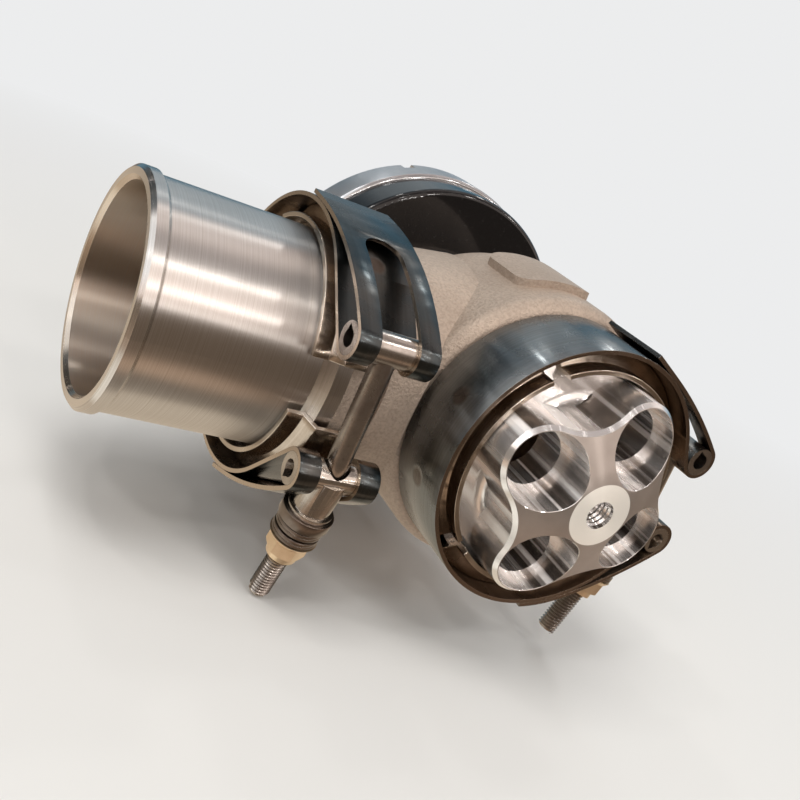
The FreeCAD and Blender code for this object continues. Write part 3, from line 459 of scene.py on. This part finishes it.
def block_aluminium():
    """Milled aluminium: walls with painted highlight streaks and painted dark reflection bands, polished
    edges, satin webs and a pale faced hub.
    """
    finish = Finish("runner_block_milled", (0.84, 0.83, 0.82), 1.0, 0.36, 0.9, Y_WAY)
    lines = finish.group("lines", Along=Y_WAY, Fine=6000.0, Coarse=1500.0)
    marks = finish.group("handling", Cloud=120.0, Speck=2500.0)
    along = finish.group("painted_streaks")
    painted_streaks = along["Streaks"]
    facing = finish.along_y(finish.normal)
    deep = finish.along_y(finish.place)
    # The webs are the satin top between the sockets, not the steps inside them
    webs = finish.math("MULTIPLY", finish.span(facing, -0.86, -0.92),
                       finish.span(deep, (SOCKET_FLOOR_Y - 1.0) * MM, (SOCKET_FLOOR_Y - 1.5) * MM))
    edges = finish.math("MULTIPLY", finish.span(finish.endwise, 0.3, 0.45),
                        finish.math("SUBTRACT", 1.0, webs))
    hub = finish.span(deep, 0.06 * MM, 0.03 * MM)
    # Painted reflections on the walls: dark bands, then bright highlight streaks over them
    painted_wall_reflections = finish.mix(along["Bands"], (0.22, 0.19, 0.17), (0.94, 0.92, 0.91))
    painted_wall_reflections = finish.shade(painted_streaks, painted_wall_reflections, (1.0, 0.99, 0.98))
    satin = finish.mix(marks["Clouds"], (0.53, 0.47, 0.43), (0.44, 0.385, 0.35))
    colour = finish.shade(edges, painted_wall_reflections, (0.92, 0.92, 0.92))
    colour = blend_colour(finish.tree, webs, colour, satin)
    finish.feed("Base Color", finish.shade(hub, colour, (1.0, 0.94, 0.85)))
    matt = finish.math("ADD", finish.span(webs, 0.0, 1.0, 0.14, 0.24), finish.math("MULTIPLY", hub, 0.4))
    finish.feed("Metallic", finish.math("SUBTRACT", 1.0, matt))
    rough = finish.moved(finish.span(painted_streaks, 0.0, 1.0, 0.22, 0.46), edges, 0.15)
    finish.feed("Roughness", finish.moved(rough, webs, 0.36))
    finish.bump(lines["Lines"], 0.000004, 0.4)
    return finish.material


def gloss_black():
    """The actuator's black coat, almost a mirror, with a few specks."""
    deep = (0.006, 0.006, 0.007)
    finish = Finish("gloss_black_coat", deep, 0.0, 0.12)
    finish.shader.inputs["Specular IOR Level"].default_value = 0.35
    finish.shader.inputs["Coat Weight"].default_value = 0.25
    finish.shader.inputs["Coat Roughness"].default_value = 0.03
    marks = finish.group("handling", Cloud=50.0, Speck=900.0)
    finish.feed("Base Color", finish.mix(marks["Specks"], deep, (0.02, 0.02, 0.02)))
    finish.feed("Roughness", finish.span(marks["Clouds"], 0.0, 1.0, 0.06, 0.16))
    finish.bump(marks["Clouds"], 0.00001, 0.3)
    return finish.material


def plain_metal(name, colour, worn, roughness, metallic=1.0):
    """Small metal pieces, clouded and specked with a worn tone."""
    finish = Finish(name, colour, metallic, roughness)
    marks = finish.group("handling", Cloud=150.0, Speck=1600.0)
    mixed = finish.mix(marks["Clouds"], colour, worn)
    finish.feed("Base Color", finish.shade(finish.math("MULTIPLY", marks["Specks"], 0.5), mixed, worn))
    finish.feed("Roughness", finish.span(marks["Clouds"], 0.0, 1.0, roughness * 0.8, roughness * 1.3))
    finish.bump(marks["Clouds"], 0.00003, 0.4)
    return finish.material


def soft_black(name, colour, roughness):
    """Rubber and seal polymer."""
    finish = Finish(name, colour, 0.0, roughness)
    marks = finish.group("handling", Cloud=200.0, Speck=1400.0)
    finish.feed("Base Color", finish.mix(marks["Clouds"], colour, [c * 1.8 for c in colour]))
    finish.bump(marks["Clouds"], 0.00005, 0.5)
    return finish.material


# The marks that spot welding leaves: centre and radius in millimetres
SIDE_WELDS = [((-51.1, 40.1, 26.5), 2.0), ((-51.4, 68.0, 31.2), 2.0)]
PORT_WELDS = [((-30.87, 21.5, 10.2), 2.2), ((-30.84, 22.4, -10.3), 2.2), ((7.0, 22.0, 31.7), 2.2)]

# Painted shade on the straps' inner faces, also the tone of their smudges
STRAP_INNER_SHADE_AND_SMUDGE = (0.20, 0.155, 0.12)
WELD_TONE = (0.10, 0.075, 0.06)
FINISHES = {
    "valve_body": cast_steel(),
    "charge_spigot": turned_steel("spigot_turned", X_WAY, (0.72, 0.70, 0.685), (0.56, 0.53, 0.50), 0.34,
                                  bore_reflection_tint=(0.70, 0.60, 0.50)),
    "runner_block": block_aluminium(),
    "seat_ring": turned_steel("seat_ring_ground", Y_WAY, (0.5, 0.5, 0.5), (0.35, 0.33, 0.31), 0.3),
    "stem_guide": plain_metal("guide_bronze", (0.55, 0.40, 0.20), (0.42, 0.30, 0.16), 0.3),
    "poppet_valve": plain_metal("poppet_brown_steel", (0.36, 0.29, 0.22), (0.22, 0.17, 0.13), 0.3),
    "heat_gasket": plain_metal("gasket_sheet", (0.34, 0.34, 0.35), (0.25, 0.25, 0.25), 0.4),
    "actuator_base": gloss_black(),
    "base_screws": plain_metal("socket_screws", (0.10, 0.10, 0.11), (0.06, 0.06, 0.06), 0.35),
    "stem_seal": soft_black("seal_polymer", (0.05, 0.05, 0.05), 0.55),
    "lower_plate": plain_metal("plate_aluminium", (0.62, 0.62, 0.63), (0.52, 0.52, 0.53), 0.3),
    "diaphragm": soft_black("diaphragm_fabric", (0.03, 0.03, 0.03), 0.7),
    "outer_spring": plain_metal("spring_wire", (0.25, 0.25, 0.27), (0.15, 0.14, 0.14), 0.35),
    "lock_collar": turned_steel("collar_silver", Y_WAY, (0.58, 0.60, 0.62), (0.46, 0.47, 0.49), 0.3, 0.8),
}
FINISHES["piston"] = FINISHES["lower_plate"]
FINISHES["piston_nut"] = FINISHES["base_screws"]
FINISHES["inner_spring"] = FINISHES["outer_spring"]
FINISHES["actuator_cap"] = FINISHES["actuator_base"]
NUT_PLATE = plain_metal("nut_pale_gold", (0.90, 0.74, 0.54), (0.72, 0.56, 0.38), 0.3, 0.9)
DARK_STACK = plain_metal("spring_washer_steel", (0.28, 0.24, 0.21), (0.15, 0.12, 0.10), 0.3)
# Each strap's outside and its cut edges
STRAP_TONES = {"side": ((0.065, 0.085, 0.095), (0.52, 0.44, 0.36)),
               "port": ((0.25, 0.28, 0.295), (0.26, 0.205, 0.165))}
for clamp, across, welds in (("side", X_WAY, SIDE_WELDS), ("port", Y_WAY, PORT_WELDS)):
    FINISHES[clamp + "_strap"] = strap_steel(clamp + "_strap_rolled", across, *STRAP_TONES[clamp], welds)
    pressed = pressed_steel(clamp + "_retainer_pressed", across, (0.62, 0.56, 0.49), (0.40, 0.34, 0.28))
    for place in ("upper", "back", "lower"):
        FINISHES[clamp + "_retainer_" + place] = pressed
    FINISHES[clamp + "_trunnion"] = plain_metal(clamp + "_trunnion_steel", (0.55, 0.52, 0.48),
                                                (0.36, 0.32, 0.28), 0.24)
    FINISHES[clamp + "_t_bolt"] = plain_metal(clamp + "_bolt_steel", (0.46, 0.43, 0.40),
                                              (0.24, 0.21, 0.19), 0.26)
    FINISHES[clamp + "_thrust_cup"] = DARK_STACK
    FINISHES[clamp + "_spring_washers"] = DARK_STACK
    FINISHES[clamp + "_lock_nut"] = NUT_PLATE


# Mesh building

def placed(name, mesh):
    """An object in the scene, made of a finished bmesh."""
    data = bpy.data.meshes.new(name)
    mesh.to_mesh(data)
    mesh.free()
    made = bpy.data.objects.new(name, data)
    bpy.context.scene.collection.objects.link(made)
    return made


def piece(name, mesh, node, body):
    """A new piece, dressed and carried like the node it goes with."""
    made = placed(name, mesh)
    made.data.materials.append(FINISHES[node])
    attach(made, body)
    return made


def node_copy(node):
    """A node's mesh as a bmesh with its loose triangles joined."""
    mesh = bmesh.new()
    mesh.from_mesh(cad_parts[node].data)
    bmesh.ops.remove_doubles(mesh, verts=mesh.verts, dist=JOIN_REACH * MM)
    return mesh


def shade_by_angle(made, degrees):
    """Smooth faces, with sharp edges kept where they fold more than the angle."""
    limit = math.radians(degrees)
    mesh = bmesh.new()
    mesh.from_mesh(made.data)
    for face in mesh.faces:
        face.smooth = True
    for edge in mesh.edges:
        edge.smooth = len(edge.link_faces) == 2 and edge.calc_face_angle(0.0) < limit
    mesh.to_mesh(made.data)
    mesh.free()


def thread_frame(clamp):
    """A matrix that lays +Z along a clamp's bolt, the bolt's start at the trunnion, and its direction."""
    out, high = CLAMPS[clamp]["trunnion"]
    lean = math.radians(CLAMPS[clamp]["lean"])
    along = (-math.sin(lean), -math.cos(lean))
    if clamp == "side":
        start = Vector((SIDE_JOINT_X, SIDE_AXIS_Y - out, high))
        down = Vector((0, -along[0], along[1]))
    else:
        start = Vector((out, PORT_JOINT_Y, high))
        down = Vector((along[0], 0, along[1]))
    turn = down.to_track_quat("Z", "Y").to_matrix().to_4x4()
    return Matrix.Translation(start * MM) @ turn, start * MM, down


def screw_ridges(crest_r, root_r, pitch, length, start):
    """A helical ridge as an open tube of metal round +Z, from start upwards."""
    mesh = bmesh.new()
    points = [mesh.verts.new(((crest_r if share else root_r) * MM, 0, (start + height * pitch) * MM))
              for height, share in THREAD_OUTLINE]
    edges = [mesh.edges.new(pair) for pair in zip(points, points[1:])]
    turns = int(length / pitch)
    bmesh.ops.spin(mesh, geom=points + edges, cent=(0, 0, 0), axis=(0, 0, 1),
                   dvec=(0, 0, pitch * MM / THREAD_STEPS), angle=2 * math.pi * turns,
                   steps=THREAD_STEPS * turns, use_merge=False)
    bmesh.ops.remove_doubles(mesh, verts=mesh.verts, dist=JOIN_REACH / 2 * MM)
    bmesh.ops.recalc_face_normals(mesh, faces=mesh.faces)
    return mesh


def build_bolt(clamp):
    """The T-bolt with its plain end cut off and a real thread in its place."""
    node = clamp + "_t_bolt"
    place, start, down = thread_frame(clamp)
    bolt = node_copy(node)
    cut = start + down * (THREAD_START * MM)
    bmesh.ops.bisect_plane(bolt, geom=bolt.verts[:] + bolt.edges[:] + bolt.faces[:],
                           plane_co=cut, plane_no=down, clear_outer=True)
    end = CLAMPS[clamp]["below"]
    length = end - THREAD_START - BOLT_END_ROOM
    thread = screw_ridges(THREAD_CREST_R, THREAD_ROOT_R, THREAD_PITCH, length, THREAD_START)
    core_r = (THREAD_ROOT_R + CORE_OVERLAP) * MM
    core = bmesh.ops.create_cone(thread, cap_ends=True, segments=40, radius1=core_r, radius2=core_r,
                                 depth=(end - THREAD_START) * MM,
                                 matrix=Matrix.Translation((0, 0, (end + THREAD_START) / 2 * MM)))
    rim = [edge for edge in thread.edges
           if all(v in core["verts"] and v.co.z > (end - 0.01) * MM for v in edge.verts)]
    bmesh.ops.bevel(thread, geom=rim, offset=BOLT_END_CHAMFER * MM, affect="EDGES", segments=2,
                    profile=0.5, material=-1)
    bmesh.ops.transform(thread, matrix=place, verts=thread.verts)
    joined = bpy.data.meshes.new("thread")
    thread.to_mesh(joined)
    thread.free()
    bolt.from_mesh(joined)
    bpy.data.meshes.remove(joined)
    made = piece(clamp + "_bolt_with_thread", bolt, node, "housing")
    shade_by_angle(made, 32)
    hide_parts(node)


def build_block():
    """The block with the chamfer round each socket's mouth."""
    block = node_copy("runner_block")
    mouths = []
    for edge in block.edges:
        if len(edge.link_faces) != 2 or edge.calc_face_angle(0.0) < math.radians(25):
            continue
        for angle in SOCKET_ANGLES:
            axis = socket_axis(angle)
            near = [abs(Vector((v.co.x - axis.x, v.co.z - axis.z)).length - SOCKET_R * MM)
                    for v in edge.verts]
            if max(near) < 0.03 * MM and all(v.co.y < (SOCKET_FLOOR_Y - 1) * MM for v in edge.verts):
                mouths.append(edge)
    bmesh.ops.bevel(block, geom=mouths, offset=MOUTH_CHAMFER * MM, offset_type="OFFSET",
                    affect="EDGES", segments=1, profile=0.5, material=-1, clamp_overlap=True)
    made = piece("runner_block_chamfered", block, "runner_block", "housing")
    shade_by_angle(made, 24)
    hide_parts("runner_block")


def build_hub_thread():
    """The ridges of the thread in the hub's hole, turned inside out."""
    thread = screw_ridges(HUB_HOLE_R - HUB_THREAD_RISE, HUB_HOLE_R + CORE_OVERLAP / 2,
                          HUB_THREAD_PITCH, HUB_THREAD_LENGTH, HUB_THREAD_START)
    bmesh.ops.reverse_faces(thread, faces=thread.faces)
    turn = Vector(Y_WAY).to_track_quat("Z", "Y").to_matrix().to_4x4()
    bmesh.ops.transform(thread, matrix=turn, verts=thread.verts)
    made = piece("hub_thread_ridges", thread, "runner_block", "housing")
    shade_by_angle(made, 30)


def ease_edges(shown, width):
    """Break a node's sharp edges so that they catch the light."""
    weld = shown.modifiers.new("join", "WELD")
    weld.merge_threshold = JOIN_REACH * MM
    ease = shown.modifiers.new("ease", "BEVEL")
    ease.width = width * MM
    ease.segments = 2
    ease.limit_method = "ANGLE"
    ease.angle_limit = math.radians(40)
    ease.harden_normals = True
    ease.use_clamp_overlap = True


# How much each node's sharp edges are broken, in millimetres
EASED = {"lock_collar": 0.25}
for clamp in CLAMPS:
    EASED.update({clamp + "_strap": 0.14, clamp + "_retainer_upper": 0.2, clamp + "_retainer_back": 0.2,
                  clamp + "_retainer_lower": 0.2, clamp + "_trunnion": 0.2, clamp + "_lock_nut": 0.15,
                  clamp + "_thrust_cup": 0.1, clamp + "_spring_washers": 0.1})

for node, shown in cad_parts.items():
    shown.data.materials.clear()
    shown.data.materials.append(FINISHES[node])
for node, width in EASED.items():
    ease_edges(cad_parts[node], width)
for clamp in CLAMPS:
    build_bolt(clamp)
build_block()
build_hub_thread()
# The closing springs shorten towards the cap as the valve rises; here each only gets a mesh of its own
for node in ("outer_spring", "inner_spring"):
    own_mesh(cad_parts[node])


# The studio

# Broad lamps: way from the middle and size in metres, watts, colour
SOFT_LAMPS = [("key", (-0.25, -0.15, 0.75), (0.45, 0.35), 2.6, (1.0, 0.97, 0.93)),
              ("fill", (-0.7, -0.45, 0.15), (0.6, 0.6), 1.0, (1.0, 0.95, 0.90)),
              ("rim", (0.5, 0.6, 0.4), (0.4, 0.4), 1.2, (0.92, 0.96, 1.0))]
# Small lamps overhead and round about: azimuth and elevation in degrees, watts
CEILING_LAMPS = [(-150, 42, 0.5), (-118, 30, 0.4), (-96, 52, 0.35), (-70, 28, 0.45), (-48, 46, 0.4),
                 (-20, 36, 0.4), (35, 50, 0.35), (110, 60, 0.3), (172, 58, 0.35), (-84, 16, 0.3)]
CEILING_REACH = 0.9
CEILING_SIZE = (0.06, 0.06)
CEILING_TONE = (1.0, 0.96, 0.92)
# Lamps up to this size show in reflections
SMALL_LAMP = 0.1
# The floor lies this far under the part, in millimetres, and fades to the backdrop between two radii
FLOOR_DROP = 0.5
FLOOR_FADE = (0.12, 0.5)
DOME_R = 1.6


def lamp(name, at, aim, size, power, colour):
    """An area lamp that looks at the aim."""
    data = bpy.data.lights.new(name, "AREA")
    data.shape = "RECTANGLE"
    data.size, data.size_y = size
    data.energy = power
    data.color = colour
    made = bpy.data.objects.new(name, data)
    bpy.context.scene.collection.objects.link(made)
    made.location = at
    made.rotation_euler = (Vector(aim) - Vector(at)).to_track_quat("-Z", "Y").to_euler()
    made.visible_glossy = max(size) < SMALL_LAMP


# What bright metal reflects
DOME_BASE = (0.17, 0.125, 0.09, 1.0)
# Strips that run along X: middle and half width in degrees from the front over the top, colour
DOME_STRIPS = [
    (165, 32, (0.13, 0.25, 0.33)),
    (122, 16, (0.36, 0.45, 0.51)),
    (95, 14, (0.85, 0.72, 0.66)),
    (69, 10, (0.36, 0.30, 0.28)),
    (35, 18, (1.34, 1.13, 1.01)),
    (-45, 8, (0.62, 0.43, 0.30)),
    (-125, 46, (0.68, 0.57, 0.44)),
]
# Patches: direction, reach and soft edge in degrees, colour
DOME_PATCHES = [
    ((0.15, 0.79, 0.60), 20, 8, (0.55, 0.62, 0.66)),
    ((-0.62, 0.70, 0.34), 28, 10, (0.05, 0.045, 0.04)),
    ((-0.78, -0.12, 0.62), 24, 8, (1.50, 1.50, 1.50)),
    ((-0.60, -0.10, -0.80), 22, 8, (1.15, 1.08, 0.95)),
]


def build_reflection_dome(centre):
    """A dome that only reflections see, with light and dark fields."""
    mesh = bmesh.new()
    bmesh.ops.create_icosphere(mesh, subdivisions=4, radius=DOME_R)
    dome = placed("reflection_dome", mesh)
    material = bpy.data.materials.new("reflection_dome")
    material.use_nodes = True
    tree = material.node_tree
    tree.nodes.clear()
    direction = tree.nodes.new("ShaderNodeVectorMath")
    direction.operation = "NORMALIZE"
    tree.links.new(tree.nodes.new("ShaderNodeTexCoord").outputs["Object"], direction.inputs[0])
    way = direction.outputs[0]
    parts = tree.nodes.new("ShaderNodeSeparateXYZ")
    tree.links.new(way, parts.inputs[0])
    height = parts.outputs["Z"]
    uneven = math_node(tree, "SUBTRACT", noise(tree, way, 2.6, 4.0), 0.5)
    wobble = math_node(tree, "MULTIPLY", uneven, 0.35)
    turn = math_node(tree, "ARCTAN2", height, math_node(tree, "MULTIPLY", parts.outputs["Y"], -1.0))
    turn = math_node(tree, "ADD", math_node(tree, "MULTIPLY", turn, 180 / math.pi),
                     math_node(tree, "MULTIPLY", wobble, 40.0))
    colour = DOME_BASE
    for centre_height, half, tone in DOME_STRIPS:
        off = math_node(tree, "ABSOLUTE", math_node(tree, "SUBTRACT", turn, centre_height))
        colour = blend_colour(tree, span(tree, off, half + 5.0, half - 3.0), colour, (*tone, 1.0))
    for aim, reach, edge, tone in DOME_PATCHES:
        near = tree.nodes.new("ShaderNodeVectorMath")
        near.operation = "DOT_PRODUCT"
        tree.links.new(way, near.inputs[0])
        near.inputs[1].default_value = Vector(aim).normalized()
        inside = math_node(tree, "ADD", near.outputs["Value"], wobble)
        outer = math.cos(math.radians(reach + edge))
        inner = math.cos(math.radians(reach - edge))
        colour = blend_colour(tree, span(tree, inside, outer, inner), colour, (*tone, 1.0))
    spots = tree.nodes.new("ShaderNodeTexVoronoi")
    tree.links.new(way, spots.inputs["Vector"])
    spots.inputs["Scale"].default_value = 5.0
    lit = math_node(tree, "MULTIPLY", span(tree, spots.outputs["Distance"], 0.12, 0.08),
                    span(tree, height, 0.05, 0.2))
    colour = blend_colour(tree, lit, colour, (4.5, 4.2, 4.0, 1))
    glow = tree.nodes.new("ShaderNodeEmission")
    tree.links.new(colour, glow.inputs["Color"])
    out = tree.nodes.new("ShaderNodeOutputMaterial")
    tree.links.new(glow.outputs[0], out.inputs["Surface"])
    dome.data.materials.append(material)
    dome.location = centre
    for way_seen in ("camera", "diffuse", "transmission", "volume_scatter", "shadow"):
        setattr(dome, "visible_" + way_seen, False)


def build_floor(centre, height):
    """A pale floor that fades to the backdrop's colour away from the part."""
    mesh = bmesh.new()
    bmesh.ops.create_grid(mesh, x_segments=1, y_segments=1, size=6.0)
    floor = placed("pale_floor", mesh)
    material = bpy.data.materials.new("pale_floor")
    material.use_nodes = True
    shader = material.node_tree.nodes["Principled BSDF"]
    shader.inputs["Base Color"].default_value = PALE
    shader.inputs["Roughness"].default_value = 0.9
    tree = material.node_tree
    far = tree.nodes.new("ShaderNodeVectorMath")
    far.operation = "LENGTH"
    tree.links.new(tree.nodes.new("ShaderNodeTexCoord").outputs["Object"], far.inputs[0])
    glow = tree.nodes.new("ShaderNodeEmission")
    glow.inputs["Color"].default_value = BACKDROP
    mix = tree.nodes.new("ShaderNodeMixShader")
    tree.links.new(span(tree, far.outputs["Value"], *FLOOR_FADE), mix.inputs[0])
    tree.links.new(shader.outputs[0], mix.inputs[1])
    tree.links.new(glow.outputs[0], mix.inputs[2])
    tree.links.new(mix.outputs[0], tree.nodes["Material Output"].inputs["Surface"])
    floor.data.materials.append(material)
    floor.location = (centre.x, centre.y, height)
    floor.visible_glossy = False


def build_world():
    """Even soft light, with the backdrop's own colour wherever it is seen."""
    world = bpy.data.worlds.new("pale_studio")
    bpy.context.scene.world = world
    world.use_nodes = True
    tree = world.node_tree
    light = tree.nodes["Background"]
    light.inputs["Color"].default_value = (0.80, 0.79, 0.77, 1)
    light.inputs["Strength"].default_value = 0.45
    shown = tree.nodes.new("ShaderNodeBackground")
    shown.inputs["Color"].default_value = BACKDROP
    path = tree.nodes.new("ShaderNodeLightPath")
    seen = math_node(tree, "MAXIMUM", path.outputs["Is Camera Ray"],
                     math_node(tree, "MAXIMUM", path.outputs["Is Glossy Ray"],
                               path.outputs["Is Transmission Ray"]))
    mix = tree.nodes.new("ShaderNodeMixShader")
    tree.links.new(seen, mix.inputs[0])
    tree.links.new(light.outputs[0], mix.inputs[1])
    tree.links.new(shown.outputs[0], mix.inputs[2])
    tree.links.new(mix.outputs[0], tree.nodes["World Output"].inputs["Surface"])


def build_camera():
    """The camera at the photograph's place and angle."""
    data = bpy.data.cameras.new("camera")
    data.lens = LENS
    data.sensor_width = 36.0
    data.clip_start = 0.01
    made = bpy.data.objects.new("camera", data)
    bpy.context.scene.collection.objects.link(made)
    turn = Matrix((RIGHT, UP, -AHEAD)).transposed().to_4x4()
    made.matrix_world = Matrix.Translation(EYE) @ turn
    bpy.context.scene.camera = made


low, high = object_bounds()
middle = (low + high) / 2
build_world()
build_reflection_dome(middle)
build_floor(middle, low.z - FLOOR_DROP * MM)
for name, way, size, power, colour in SOFT_LAMPS:
    lamp(name, middle + Vector(way), middle, size, power, colour)
for number, (azimuth, elevation, power) in enumerate(CEILING_LAMPS):
    around = math.radians(azimuth)
    rise = math.radians(elevation)
    way = Vector((math.cos(around) * math.cos(rise), math.sin(around) * math.cos(rise), math.sin(rise)))
    lamp(f"ceiling_{number + 1}", middle + way * CEILING_REACH, middle, CEILING_SIZE, power, CEILING_TONE)
build_camera()
bpy.context.scene.view_settings.view_transform = "Standard"
